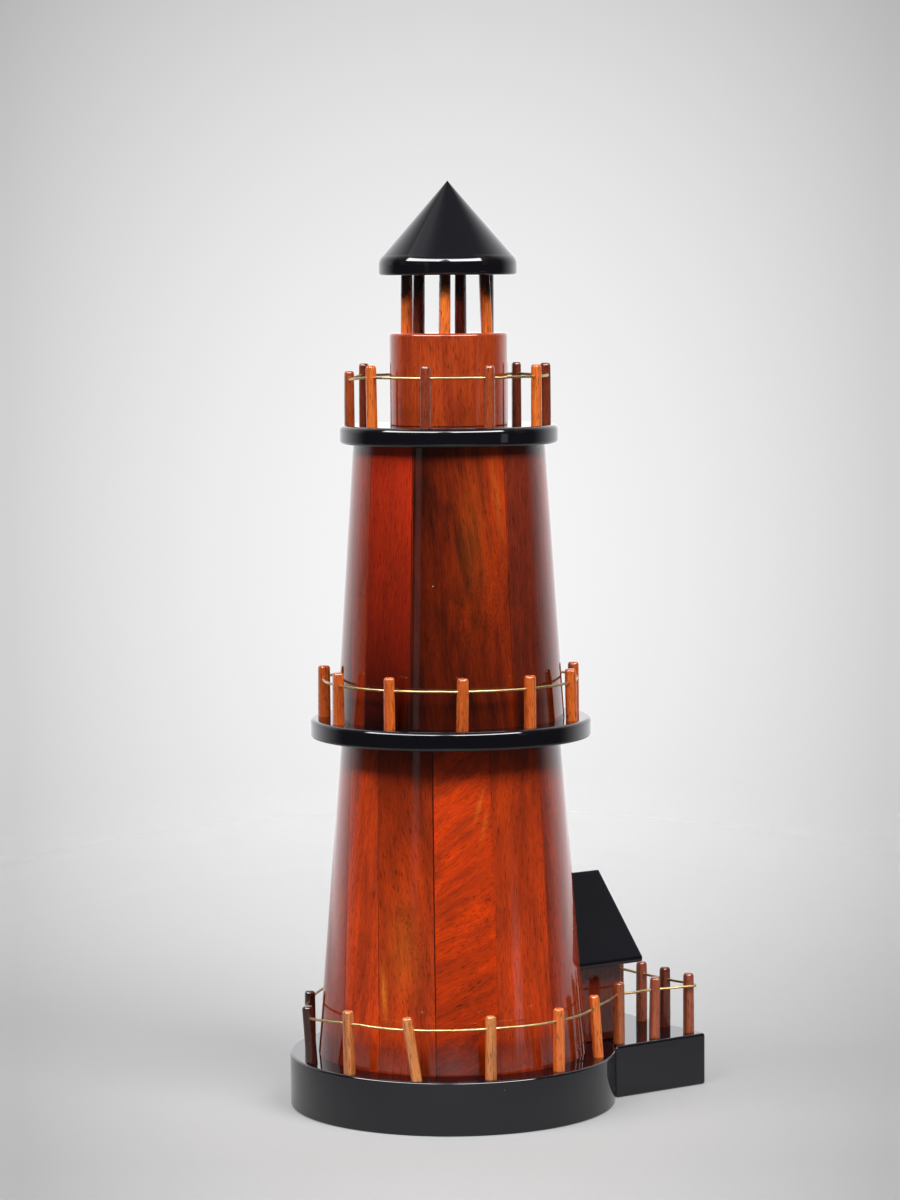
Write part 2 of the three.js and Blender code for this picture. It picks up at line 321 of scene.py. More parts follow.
def bump(tree, height, strength, distance):
    relief = {"Height": height, "Strength": strength, "Distance": distance}
    return first(tree, "ShaderNodeBump", relief)


def dust_over(tree, shader, amount, colour):
    """Lays dust over a shader's colour, and takes the shine off where it lies."""
    dust = {"Place": place_of(tree), "Amount": amount}
    specks = first(tree, "ShaderNodeGroup", dust, node_tree=dust_group)
    dusty = blend_colour(tree, specks, colour, DUST_TONE)
    fill(tree, shader, {"Base Color": dusty, "Coat Weight": maths(tree, "SUBTRACT", 1.0, specks)})


def lacquered_wood(
    name, band_width=1.0, pore_depth=0.55, relief=0.25, dipped=False, painted_roof_shade=None
):
    """Wood that reads its board coordinates, its two tones and its seams from its piece.

    The last argument is the two heights between which painted shade, near black, takes over going
    up: the roof's shadow on the pillars, where there is any.
    """
    made, tree, shader = new_material(name)
    inputs = {
        "Board": attribute(tree, "board"),
        "Light wood": attribute(tree, "light_wood", "Color"),
        "Dark wood": attribute(tree, "dark_wood", "Color"),
        "Seam": attribute(tree, "seam", "Fac"),
        "Swirl": attribute(tree, "swirl", "Fac"),
        "Band width": band_width,
        "Pore depth": pore_depth,
    }
    wood = add(tree, "ShaderNodeGroup", inputs, node_tree=wood_group).outputs
    height, colour = wood["Height"], wood["Colour"]
    # Painted shade: near black over the pillars' tops, with a ragged edge, for the roof's shadow.
    if painted_roof_shade:
        ragged = ramp(tree, streaks(tree, place_of(tree), (90, 90, 60)), 0.3, 0.7, -5 * MM, 5 * MM)
        spot = add(tree, "ShaderNodeSeparateXYZ", {0: place_of(tree)}).outputs
        run = ramp(tree, maths(tree, "ADD", spot["Z"], ragged), *painted_roof_shade, 0.0, 0.94)
        colour = blend_colour(tree, run, colour, ROOF_SHADE_BLACK)
    if dipped:
        drips = streaks(tree, place_of(tree), (620, 620, 420), detail=2)
        height = maths(tree, "ADD", maths(tree, "MULTIPLY", height, 0.3), drips)
        wet = ramp(tree, drips, 0.3, 0.7, 0.08, 0.22)
        fill(tree, shader, {"Base Color": colour, "Roughness": wet})
    else:
        dust_over(tree, shader, 0.02, colour)
        fill(tree, shader, {"Roughness": wood["Roughness"]})
    film = {
        "Normal": bump(tree, height, relief, 0.2 * MM),
        "Specular IOR Level": 0.55 if dipped else 0.0,
        "Coat Roughness": 0.025,
        "Coat IOR": COAT_IOR,
    }
    fill(tree, shader, film)
    return made


tower_wood = lacquered_wood("tower_wood")
turned_wood = lacquered_wood("turned_wood", band_width=1.6, pore_depth=0.6)
peg_wood = lacquered_wood("peg_wood", band_width=2.2, pore_depth=0.75, relief=0.9, dipped=True)
print("lacquered woods made")

# %% Black lacquer
def black_lacquer_finish():
    made, tree, shader = new_material("black_lacquer")
    place = place_of(tree)
    clouds = streaks(tree, place, (24, 24, 24))
    ground = blend_colour(tree, clouds, (0.0020, 0.0021, 0.0040, 1), (0.0054, 0.0053, 0.0080, 1))
    patches = ramp(tree, streaks(tree, place, (210, 210, 210), detail=2), 0.5, 0.7)
    thin = maths(tree, "MULTIPLY", attribute(tree, "edge", "Fac"), patches, clamp=True)
    dust_over(tree, shader, 0.035, blend_colour(tree, thin, ground, (0.013, 0.008, 0.006, 1)))
    film = {
        "Roughness": ramp(tree, clouds, 0.3, 0.7, 0.12, 0.24),
        "Specular IOR Level": 0.0,
        "Coat Roughness": 0.02,
        "Coat IOR": COAT_IOR,
    }
    fill(tree, shader, film)
    return made


black_lacquer = black_lacquer_finish()
print("black lacquer made")

# %% [markdown]
# The wire is soft brass, drawn through a die, so it carries fine lines along its length, and it
# has dulled a little where fingers pulled it through the pegs.

# %% Brass
def brass_finish():
    made, tree, shader = new_material("drawn_brass")
    place = place_of(tree)
    tarnish = streaks(tree, place, (160, 160, 160))
    dull = ramp(tree, tarnish, 0.35, 0.68)
    drawn = streaks(tree, place, (900, 900, 4000), detail=1)
    metal = {
        "Base Color": blend_colour(tree, dull, (0.45, 0.33, 0.14, 1), (0.26, 0.175, 0.075, 1)),
        "Roughness": ramp(tree, tarnish, 0.3, 0.7, 0.32, 0.5),
        "Normal": bump(tree, drawn, 0.15, 0.05 * MM),
        "Metallic": 1.0,
    }
    fill(tree, shader, metal)
    return made


brass = brass_finish()
print("brass made")

# %% [markdown]
# ## Turned pieces
#
# The discs, the drum and the cone are lathe work: an outline of radius and height, carried round
# the axis. The outline is drawn with true arcs at its edges, where the lacquer has run and
# rounded them, and with an extra point just beyond each arc, which keeps the flat faces flat
# when the whole surface is shaded smooth. Hand polishing never leaves a perfect circle, so each
# point is moved by a few hundredths of a millimetre, which makes the reflections waver.

# %% Outlines and turning
TURN_STEPS = 192
EDGE_STEPS = 7
HOLD = 0.35 * MM


def arc(centre_r, centre_z, size, start, stop, steps=EDGE_STEPS):
    """Points of (radius, height, how far the point is an edge) round an arc, in degrees."""
    turns = np.radians(np.linspace(start, stop, steps))
    return [(centre_r + size * math.cos(t), centre_z + size * math.sin(t), 1.0) for t in turns]


def held(points):
    """The outline with a point of support beside each edge point that faces a long flat."""

    def support(point, neighbour):
        run = Vector(neighbour[:2]) - Vector(point[:2])
        if point[2] == 0 or run.length < 2.5 * HOLD:
            return []
        step = Vector(point[:2]) + run.normalized() * HOLD
        return [(step.x, step.y, 0.0)]

    made = []
    for i, point in enumerate(points):
        made += support(point, points[i - 1]) if i else []
        made.append(point)
        made += support(point, points[i + 1]) if i + 1 < len(points) else []
    return made


def set_attributes(mesh, **layers):
    """Stores a number, a vector or a colour for each vertex, as each layer's rows are long."""
    kinds = {1: ("FLOAT", "value"), 3: ("FLOAT_VECTOR", "vector"), 4: ("FLOAT_COLOR", "color")}
    for name, values in layers.items():
        rows = np.asarray(values, dtype=np.float32)
        kind, field = kinds[rows.size // len(rows)]
        mesh.attributes.new(name, kind, "POINT").data.foreach_set(field, rows.ravel())


def finish_mesh(name, bm, material, smooth=True):
    """Turns a bmesh into a linked object with outward faces."""
    bmesh.ops.recalc_face_normals(bm, faces=bm.faces)
    mesh = bpy.data.meshes.new(name)
    bm.to_mesh(mesh)
    bm.free()
    if smooth:
        mesh.shade_smooth()
    mesh.materials.append(material)
    return put_in_scene(name, mesh)


def waver(point, seed, amount, grain=45.0):
    """point pushed sideways, away from the axis, by smooth noise."""
    push = amount * noise.noise(Vector((point.x, point.y, point.z + seed)) * grain)
    away = Vector((point.x, point.y, 0))
    return point + away.normalized() * push if away.length > 1e-6 else point


def turned(name, outline, material, seed, amount=0.04 * MM):
    """A closed turning. The outline runs from the axis round to the axis again."""
    points = held(outline)
    bm = bmesh.new()
    edge = bm.verts.layers.float.new("edge")
    rings = []
    for r, z, is_edge in points:
        turns = [0.0] if r < 1e-7 else np.linspace(0, 2 * math.pi, TURN_STEPS, endpoint=False)
        ring = []
        for t in turns:
            spot = Vector((r * math.cos(t), r * math.sin(t), z))
            ring.append(bm.verts.new(waver(spot, seed, amount)))
            ring[-1][edge] = is_edge
        rings.append(ring)
    for low, high in zip(rings, rings[1:]):
        count = max(len(low), len(high))
        for i in range(count):
            j = (i + 1) % count
            loop = [low[i % len(low)], low[j % len(low)], high[j % len(high)], high[i % len(high)]]
            bm.faces.new(list(dict.fromkeys(loop)))
    return finish_mesh(name, bm, material)


def disc_outline(node, low_edge, high_edge):
    """A disc's outline, from its node's heights and radius, with its two edges rounded."""
    low, high = heights(node)
    rim = radius_at(node, (low + high) / 2, reach=(high - low) / 2)
    return [
        (0, low, 0),
        *arc(rim - low_edge, low + low_edge, low_edge, -90, 0),
        *arc(rim - high_edge, high - high_edge, high_edge, 0, 90),
        (0, high, 0),
    ]


print("turning helpers ready")

# %% [markdown]
# ## The black discs
#
# The base is a thick board with a crisp edge. The gallery discs are thinner, and their edges
# were rounded before lacquering, so a line of light runs round each rim.

# %% Base and gallery discs
DISCS = {
    "base_disc": (0.9 * MM, 0.9 * MM),
    "middle_disc": (1.2 * MM, 1.6 * MM),
    "top_disc": (1.6 * MM, 2.2 * MM),
}
for seed, (node, edges) in enumerate(DISCS.items()):
    outline = disc_outline(node, *edges)
    disc = turned(f"{node}_lacquered", outline, black_lacquer, seed, amount=0.1 * MM)
    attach(disc, "root")
    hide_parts(node)
    print(disc.name, len(disc.data.polygons), "faces")

# %% [markdown]
# ## The terrace
#
# The terrace is one block of the same board, butted against the round base. Its outline is
# drawn flat, with the round bite that fits the base, then given its thickness and bevelled.

# %% Terrace block
BUTT_GAP = 0.12 * MM


def terrace_outline():
    low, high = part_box("terrace_block")
    bite = radius_at("base_disc", 11 * MM, reach=11 * MM) + BUTT_GAP
    reach = math.asin(high[1] / bite)
    curve = [(bite * math.cos(t), bite * math.sin(t)) for t in np.linspace(reach, -reach, 41)]
    return [*curve, (high[0], low[1]), (high[0], high[1])]


def prism(name, outline, start, stop, material, axis):
    """A prism along an axis, 0 to 2, from an outline whose points give the other two in order."""
    bm = bmesh.new()
    near, far = (
        [bm.verts.new((*point[:axis], level, *point[axis:])) for point in outline]
        for level in (start, stop)
    )
    bm.faces.new(near[::-1])
    bm.faces.new(far)
    for i in range(len(outline)):
        j = (i + 1) % len(outline)
        bm.faces.new((near[i], near[j], far[j], far[i]))
    return finish_mesh(name, bm, material, smooth=False)


def plain(piece):
    """Swaps a piece's mesh for what its modifiers make of it, and drops the modifiers."""
    graph = bpy.context.evaluated_depsgraph_get()
    mesh = bpy.data.meshes.new_from_object(piece.evaluated_get(graph))
    old = piece.data
    piece.modifiers.clear()
    piece.data = mesh
    mesh.name = piece.name
    bpy.data.meshes.remove(old)


def soften(piece, width):
    """Bevels a piece's sharp edges and shades it smooth, with its flat faces kept flat."""
    bevel = piece.modifiers.new("bevel", "BEVEL")
    bevel.width = width
    bevel.segments = 4
    bevel.limit_method = "ANGLE"
    bevel.angle_limit = math.radians(30)
    bevel.harden_normals = True
    piece.data.shade_smooth()
    plain(piece)


terrace_low, terrace_high = heights("terrace_block")
terrace = prism(
    "terrace_lacquered", terrace_outline(), terrace_low, terrace_high, black_lacquer, axis=2
)
soften(terrace, 2.2 * MM)
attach(terrace, "root")
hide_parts("terrace_block")
print(terrace.name, len(terrace.data.polygons), "faces")

# %% [markdown]
# ## Boards in the towers
#
# Each tower is glued up from upright boards and then turned, so its surface is one smooth cone
# crossed by glue lines, and every board has its own colour and its own run of grain. The mesh
# follows that: its columns run along the glue lines, each line is a very shallow groove where
# the glue has sunk, and each board carries its own coordinates and tones.
#
# Angles are counted from the side that faces the viewer, with the right hand positive, at the
# tower's top and at its foot, because a turned block's glue lines need not run to the axis.

# %% Wood tones and boards
FRONT = math.radians(-125)
AMBER = (0.76, 0.056, 0.004, 1)
ORANGE = (0.64, 0.058, 0.007, 1)
GINGER = (0.47, 0.062, 0.011, 1)
RUSSET = (0.40, 0.038, 0.008, 1)
SCARLET = (0.42, 0.024, 0.005, 1)
CRIMSON = (0.29, 0.019, 0.005, 1)
CHESTNUT = (0.25, 0.028, 0.008, 1)
UMBER = (0.105, 0.015, 0.007, 1)
BROWN = (0.16, 0.022, 0.009, 1)
EBONY = (0.030, 0.007, 0.005, 1)

GOLD = (0.90, 0.33, 0.035, 1)

# A board starts at its glue line, which runs from one angle at the tower's top to another at its
# foot. Tilt and swirl shape the grain. The tints say how bright the board is at its top left, top
# right, foot left and foot right: partly the board's own tone, partly painted shade, as at the
# dark tops of the lower tower's front boards under the middle disc. They also darken the upper
# tower's boards toward its foot. Line says how dark the glue line shows.
Board = namedtuple("Board", "top foot light dark tilt swirl tints line", defaults=[(1,) * 4, 0.45])
LOWER_BOARDS = [
    Board(-63.0, -52.7, ORANGE, CHESTNUT, 3, 0.9, (0.85, 0.92, 1.30, 1.35)),
    Board(-40.3, -31.9, ORANGE, CHESTNUT, -5, 2.4, (0.38, 0.50, 1.08, 1.08), 0.6),
    Board(-9.5, -6.8, AMBER, CHESTNUT, 58, 2.4, (0.98, 0.98, 0.66, 0.70), 1.0),
    Board(19.2, 20.1, ORANGE, CHESTNUT, 2, 0.9, (0.66, 0.80, 1.05, 1.15), 0.3),
    Board(51.0, 47.0, RUSSET, BROWN, -2, 0.5),
    Board(80.0, 76.0, ORANGE, CHESTNUT, 5, 0.8),
    Board(108.0, 104.0, RUSSET, UMBER, -5, 0.5),
    Board(139.0, 134.0, AMBER, CHESTNUT, 40, 2.0, line=0.8),
    Board(172.0, 166.0, RUSSET, BROWN, 3, 0.5),
    Board(205.0, 203.0, ORANGE, CHESTNUT, -8, 1.2),
    Board(236.0, 236.0, SCARLET, CRIMSON, 2, 0.5, line=0.8),
    Board(266.0, 270.0, RUSSET, CHESTNUT, 4, 0.6),
]
UPPER_BOARDS = [
    Board(-71.6, -60.4, RUSSET, BROWN, 2, 0.5, (1.0, 1.0, 0.6, 0.6)),
    Board(-51.8, -48.4, SCARLET, CRIMSON, 1, 0.4, (1.14, 1.22, 0.05, 0.04), 0.6),
    Board(-21.6, -20.4, ORANGE, UMBER, -6, 2.0, (0.15, 0.88, 0.07, 0.30), 0.8),
    Board(33.4, 33.2, CHESTNUT, UMBER, 2, 0.5, (1.3, 1.2, 0.5, 0.5), 0.6),
    Board(66.0, 63.0, RUSSET, UMBER, -4, 0.7, (1.0, 1.0, 0.5, 0.5)),
    Board(97.0, 93.0, SCARLET, CRIMSON, 3, 0.4, (1.0, 1.0, 0.5, 0.5), 0.8),
    Board(131.0, 126.0, ORANGE, BROWN, -6, 1.5, (1.0, 0.8, 0.6, 0.5)),
    Board(165.0, 160.0, CHESTNUT, UMBER, 2, 0.5, (1.2, 1.2, 0.6, 0.6)),
    Board(198.0, 194.0, RUSSET, BROWN, 8, 1.2, (1.0, 1.0, 0.6, 0.6), 0.8),
    Board(230.0, 228.0, SCARLET, CRIMSON, -2, 0.4, (1.0, 1.0, 0.5, 0.5)),
    Board(259.0, 263.0, CHESTNUT, UMBER, 3, 0.5, (1.2, 1.2, 0.6, 0.6)),
]
print(len(LOWER_BOARDS), "and", len(UPPER_BOARDS), "boards")

# %% Towers
ROWS = 72
BOARD_STEPS = 22
GROOVE = 0.03 * MM
GROOVE_HALF = 0.4 * MM
BORE = 5.4 * MM
HALF_BOARD = 14


def tower_lines(boards):
    """Columns of (angle at top, angle at foot, shift sideways, depth in a groove, board).

    Each glue line is three of them: a board's edge, the bottom of the groove, the next edge.
    """
    lines = []
    for number, board in enumerate(boards):
        after = boards[(number + 1) % len(boards)]
        lap = 360 if after is boards[0] else 0
        for step in range(BOARD_STEPS + 1):
            share = step / BOARD_STEPS
            top = math.radians(board.top + share * (after.top + lap - board.top))
            foot = math.radians(board.foot + share * (after.foot + lap - board.foot))
            aside = {0: GROOVE_HALF, BOARD_STEPS: -GROOVE_HALF}.get(step, 0.0)
            lines.append((top, foot, aside, 0.0, number))
        lines.append((top, foot, 0.0, after.line, number))
    return lines


def board_frame(boards, number, seed):
    """The turn and the shift that take a point of a tower to its board's own coordinates."""
    board = boards[number]
    middle = math.radians((board.top + board.foot) / 2 + HALF_BOARD) + FRONT
    face_out = Matrix.Rotation(-middle, 3, "Z")
    tilt = Matrix.Rotation(math.radians(board.tilt), 3, "X")
    return tilt @ face_out, Vector((0.31 * number + seed, 0.17 * number, 0.53 * number))


def place_on_board(boards, number, spot, low, high):
    """How far across its board and how far up the tower a spot is, each from 0 to 1."""
    board, after = boards[number], boards[(number + 1) % len(boards)]
    up = (spot.z - low) / (high - low)
    start = board.foot + up * (board.top - board.foot)
    width = (after.foot + up * (after.top - after.foot) - start) % 360
    here = (math.degrees(math.atan2(spot.y, spot.x) - FRONT) - start + 90) % 360 - 90
    return min(1.0, max(0.0, here / width)), up


def brightness(board, across, up):
    """How bright a board is there, from the four values at its corners, which hold painted shade
    as well as tone.
    """
    top_left, top_right, foot_left, foot_right = board.tints
    top = top_left + across * (top_right - top_left)
    foot = foot_left + across * (foot_right - foot_left)
    return foot + up * (top - foot)


def golden(across, up, streak):
    """How much of a golden streak shows there: its place, half sizes, slant and strength."""
    at_across, at_up, half_width, half_height, slant, strength = streak
    off = (across - at_across - slant * (up - at_up)) / half_width
    return strength * math.exp(-off * off - ((up - at_up) / half_height) ** 2)


def joint_shade(spot, low, high, top_depth, foot_depth):
    """Painted shade: a tower is darker close to the discs, under the one above it and at its foot.
    """
    from_top, from_foot = (high - spot.z) / (8 * MM), (spot.z - low) / (15 * MM)
    return (1 - top_depth * math.exp(-from_top**2)) * (1 - foot_depth * math.exp(-from_foot**2))


def boarded_tower(name, node, boards, seed, material, streaks_of_gold, disc_shade_depths):
    """A tower with a glue line between boards: a lathe turning whose columns follow the boards."""
    low, high = heights(node)
    foot_radius, top_radius = radius_at(node, low), radius_at(node, high)
    bm = bmesh.new()
    light = bm.loops.layers.float_color.new("light_wood")
    dark = bm.loops.layers.float_color.new("dark_wood")
    place = bm.loops.layers.float_vector.new("board")
    seam = bm.verts.layers.float.new("seam")
    swirl = bm.loops.layers.float.new("swirl")
    frames = [board_frame(boards, i, seed) for i in range(len(boards))]
    lines = tower_lines(boards)
    grid = []
    for top, foot, aside, deep, _ in lines:
        column = []
        for row in range(ROWS + 1):
            share = row / ROWS
            radius = foot_radius + share * (top_radius - foot_radius)
            angle = foot + share * (top - foot) + FRONT + aside / radius
            spot = Vector((math.cos(angle), math.sin(angle), 0)) * (radius - deep * GROOVE)
            spot.z = low + share * (high - low)
            vertex = bm.verts.new(waver(spot, seed, 0.05 * MM, 30))
            vertex[seam] = deep
            column.append(vertex)
        grid.append(column)
    bores = []
    for _, foot, *_ in lines:
        x, y = BORE * math.cos(foot + FRONT), BORE * math.sin(foot + FRONT)
        bores.append([bm.verts.new((x, y, z)) for z in (low, high)])

    def face(loop, number):
        made = bm.faces.new(loop)
        turn, shift = frames[number]
        board = boards[number]
        for corner in made.loops:
            across, up = place_on_board(boards, number, corner.vert.co, low, high)
            # Painted shade comes in twice here: in the board's corner values, and close to the
            # discs.
            tone_and_shade = brightness(board, across, up)
            tone_and_shade *= joint_shade(corner.vert.co, low, high, *disc_shade_depths)
            gold = sum(golden(across, up, streak) for streak in streaks_of_gold.get(number, ()))
            for layer, tone in ((light, board.light), (dark, board.dark)):
                mixed = Vector(tone).lerp(Vector(GOLD), gold) * tone_and_shade
                corner[layer] = (*mixed[:3], 1)
            corner[swirl] = board.swirl
            corner[place] = turn @ corner.vert.co + shift

    for i, (*_, number) in enumerate(lines):
        j = (i + 1) % len(lines)
        for row in range(ROWS):
            face((grid[i][row], grid[j][row], grid[j][row + 1], grid[i][row + 1]), number)
        face((bores[i][0], bores[j][0], grid[j][0], grid[i][0]), number)
        face((grid[i][-1], grid[j][-1], bores[j][1], bores[i][1]), number)
        face((bores[i][1], bores[j][1], bores[j][0], bores[i][0]), number)
    made = finish_mesh(name, bm, material)
    made.data.set_sharp_from_angle(angle=math.radians(60))
    return made


LOWER_GOLD = {
    1: [(0.10, 0.24, 0.04, 0.07, -0.35, 0.50), (0.45, 0.38, 0.28, 0.14, 0.0, 0.13)],
    2: [(0.80, 0.82, 0.03, 0.04, 1.6, 0.30), (0.88, 0.76, 0.03, 0.04, 1.6, 0.25)],
}
UPPER_GOLD = {2: [(0.90, 0.82, 0.03, 0.14, -0.3, 0.22), (0.62, 0.68, 0.14, 0.22, 0.0, 0.10)]}
# The last pair in each row is how deep the painted shade goes, under the disc above and at the
# foot.
for node, boards, seed, gold, disc_shade_depths in (
    ("lower_tower", LOWER_BOARDS, 0.0, LOWER_GOLD, (0.45, 0.50)),
    ("upper_tower", UPPER_BOARDS, 7.0, UPPER_GOLD, (0.30, 0.10)),
):
    tower = boarded_tower(f"{node}_boards", node, boards, seed, tower_wood, gold, disc_shade_depths)
    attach(tower, "root")
    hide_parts(node)
    print(tower.name, len(tower.data.polygons), "faces")

# %% [markdown]
# ## Solid wood pieces
#
# The drum, the house and the pegs are each cut from one piece, so their board coordinates are
# simply their own, turned and shifted a little so that no two show the same grain.

# %% Board coordinates for a solid piece
def as_one_board(piece, light, dark, shift, tilt=0.0):
    """Gives a piece one board's tones and coordinates."""
    turn = Matrix.Rotation(math.radians(tilt), 3, "X")
    places = [turn @ vertex.co + Vector(shift) for vertex in piece.data.vertices]
    count = len(places)
    set_attributes(
        piece.data,
        board=places,
        light_wood=[light] * count,
        dark_wood=[dark] * count,
        seam=[0.0] * count,
        swirl=[0.8] * count,
    )


drum = turned(
    "lantern_drum_turned", disc_outline("lantern_drum", 0.4 * MM, 1.3 * MM), turned_wood, 11
)
as_one_board(drum, GINGER, CHESTNUT, (0.4, 0.2, 0.9))
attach(drum, "root")
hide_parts("lantern_drum")
print(drum.name, len(drum.data.polygons), "faces")

# %% [markdown]
# ## The lantern roof
#
# A cone turned from one block: an upright brim, a rounded shoulder and a straight slope to a
# point. The shoulder is what catches the light above the pillars.

# %% Roof cone
BRIM = 4.6 * MM
SHOULDER = 5.2 * MM
TIP = 0.5 * MM


def roof_outline():
    low, high = heights("roof_cone")
    rim = radius_at("roof_cone", low + 3 * MM, reach=3 * MM)
    lean = math.degrees(math.atan2(rim, high - low - BRIM))
    edge = 1.2 * MM
    return [
        (0, low, 0),
        *arc(rim - edge, low + edge, edge, -90, 0),
        *arc(rim - SHOULDER, low + BRIM, SHOULDER, 0, 90 - lean, steps=10),
        (TIP, high - TIP, 0),
        (TIP * 0.5, high - TIP * 0.25, 0),
        (0, high, 0),
    ]


roof = turned("roof_cone_lacquered", roof_outline(), black_lacquer, 23, amount=0.1 * MM)
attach(roof, "root")
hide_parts("roof_cone")
print(roof.name, len(roof.data.polygons), "faces")

# %% [markdown]
# ## The keeper's house
#
# Two blocks along the terrace: plain walls, and a steep roof whose eaves and verge stand out
# past them. Their inner ends are scribed to the tower, which is done here as on the bench, by
# taking the tower's own shape away from them.

# %% House walls and roof
HOUSE_START = 30 * MM
FASCIA = 2.4 * MM


def tower_cutter():
    """A cone a hair larger than the lower tower, for scribing the house to it."""
    low, high = heights("lower_tower")
    foot, top = (radius_at("lower_tower", z) + BUTT_GAP for z in (low, high))
    outline = [(0, low - 1 * MM, 0), (foot, low - 1 * MM, 0), (top, high, 0), (0, high, 0)]
    return turned("cutter", outline, black_lacquer, 0, amount=0.0)


def scribe(piece):
    """Cuts a piece to the tower, and then lets its large faces set the shading."""
    cutter = tower_cutter()
    cut = piece.modifiers.new("scribe", "BOOLEAN")
    cut.operation = "DIFFERENCE"
    cut.solver = "EXACT"
    cut.object = cutter
    plain(piece)
    piece.data.set_sharp_from_angle(angle=math.radians(35))
    flat = piece.modifiers.new("flat_faces", "WEIGHTED_NORMAL")
    flat.keep_sharp = True
    flat.weight = 100
    plain(piece)
    bpy.data.objects.remove(cutter)


def house_piece(name, node, outline, material, round_over):
    piece = prism(name, outline, HOUSE_START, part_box(node)[1][0], material, axis=0)
    soften(piece, round_over)
    scribe(piece)
    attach(piece, "root")
    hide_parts(node)
    print(name, len(piece.data.polygons), "faces")
    return piece


(_, left, foot), (_, right, top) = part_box("house_body")
section = [(left, foot), (right, foot), (right, top), (left, top)]
walls = house_piece("house_walls", "house_body", section, turned_wood, 0.7 * MM)
as_one_board(walls, BROWN, UMBER, (1.4, 0.7, 0.1), tilt=4)

(_, left, eave), (_, right, ridge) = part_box("house_roof")
section = [
    (left, eave),
    (right, eave),
    (right, eave + FASCIA),
    (0.0, ridge),
    (left, eave + FASCIA),
]
house_piece(
    "house_roof_lacquered", "house_roof", section, black_lacquer, 0.8 * MM
)

# %% [markdown]
# ## Pegs
#
# The rails stand on pegs whittled from square sticks: flat sides with soft corners, a rounded
# top, no two alike, and few quite upright. One peg is modelled, and Geometry Nodes plant a copy
# at each foot: the tree turns it to the peg's own lean, stretches it to its length, spins it so
# that its flats face different ways, and then pushes the skin in and out a little with noise.
# The points that the tree reads carry each peg's lean, length and tones.

# %% One whittled peg
PEG_SIDES = 20
SQUARENESS = 3.2
DOME = 0.05


def peg_mesh():
    """A peg one unit in half-width and one unit long, standing on z = 0, as a mesh."""
    bm = bmesh.new()
    levels = [(0.0, 1.0), (0.06, 1.0), (0.3, 1.0), (0.55, 0.99), (0.8, 0.97)]
    dome = [(math.sin(a), math.cos(a)) for a in np.radians([0, 14, 28, 42, 56, 70, 82])]
    levels += [(1 - DOME + DOME * up, 0.95 * (0.6 + 0.4 * out)) for up, out in dome]
    rings = []
    for z, width in levels:
        ring = []
        for turn in np.linspace(0, 2 * math.pi, PEG_SIDES, endpoint=False):
            c, s = math.cos(turn), math.sin(turn)
            reach = (abs(c) ** SQUARENESS + abs(s) ** SQUARENESS) ** (-1 / SQUARENESS)
            ring.append(bm.verts.new((c * reach * width, s * reach * width, z)))
        rings.append(ring)
    for low, high in zip(rings, rings[1:]):
        for i in range(PEG_SIDES):
            j = (i + 1) % PEG_SIDES
            bm.faces.new((low[i], low[j], high[j], high[i]))
    for ring in (rings[0], rings[-1]):
        centre = bm.verts.new(sum((v.co for v in ring), Vector()) / PEG_SIDES)
        for i in range(PEG_SIDES):
            bm.faces.new((ring[i], ring[(i + 1) % PEG_SIDES], centre))
    made = finish_mesh("whittled_peg", bm, peg_wood)
    set_attributes(made.data, board=[v.co for v in made.data.vertices])
    return made


whittled = peg_mesh()
whittled.hide_render = True
print("one peg:", len(whittled.data.polygons), "faces")

# %% The tree that plants the pegs
GEOMETRY, MATERIAL = "NodeSocketGeometry", "NodeSocketMaterial"
PEG_SIZE = (2.3 * MM, 2.3 * MM, 30 * MM)


def named(tree, name, kind="FLOAT"):
    return first(tree, "GeometryNodeInputNamedAttribute", {"Name": name}, data_type=kind)


tree, given, result = new_group(
    "Plant pegs",
    "GeometryNodeTree",
    {
        "Feet": GEOMETRY,
        "Peg": "NodeSocketObject",
        "Half width": FLOAT,
        "Whittling": FLOAT,
        "Seed": FLOAT,
        "Finish": MATERIAL,
    },
    {"Geometry": GEOMETRY},
)
peg_shape = add(tree, "GeometryNodeObjectInfo", {"Object": given["Peg"]}).outputs["Geometry"]
leaning = {"Vector": named(tree, "lean", "FLOAT_VECTOR")}
lean = first(tree, "FunctionNodeAlignRotationToVector", leaning, axis="Z")
spin_by = first(tree, "ShaderNodeCombineXYZ", {"Z": named(tree, "spin")})
spin = first(tree, "FunctionNodeEulerToRotation", {0: spin_by})
turn = first(tree, "FunctionNodeRotateRotation", {0: lean, 1: spin}, rotation_space="LOCAL")
half = given["Half width"]
size = first(tree, "ShaderNodeCombineXYZ", {"X": half, "Y": half, "Z": named(tree, "length")})
copies = {"Points": given["Feet"], "Instance": peg_shape, "Rotation": turn, "Scale": size}
planted = first(tree, "GeometryNodeInstanceOnPoints", copies)
real = first(tree, "GeometryNodeRealizeInstances", {0: planted})

unit = vector_maths(tree, "MULTIPLY", named(tree, "board", "FLOAT_VECTOR"), PEG_SIZE)
lot = named(tree, "lot")
apart = first(tree, "ShaderNodeCombineXYZ", {"X": lot, "Y": given["Seed"], "Z": lot})
own_board = vector_maths(tree, "ADD", unit, apart)
board_layer = {"Geometry": real, "Name": "board", "Value": own_board}
marked = first(
    tree, "GeometryNodeStoreNamedAttribute", board_layer, data_type="FLOAT_VECTOR"
)
cuts = {"Vector": own_board, "Scale": 190.0, "Detail": 1.0}
knife = add(tree, "ShaderNodeTexNoise", cuts).outputs["Fac"]
depth = maths(tree, "MULTIPLY", maths(tree, "SUBTRACT", knife, 0.5), given["Whittling"])
push = vector_maths(tree, "SCALE", first(tree, "GeometryNodeInputNormal"), depth)
shaped = first(tree, "GeometryNodeSetPosition", {"Geometry": marked, "Offset": push})
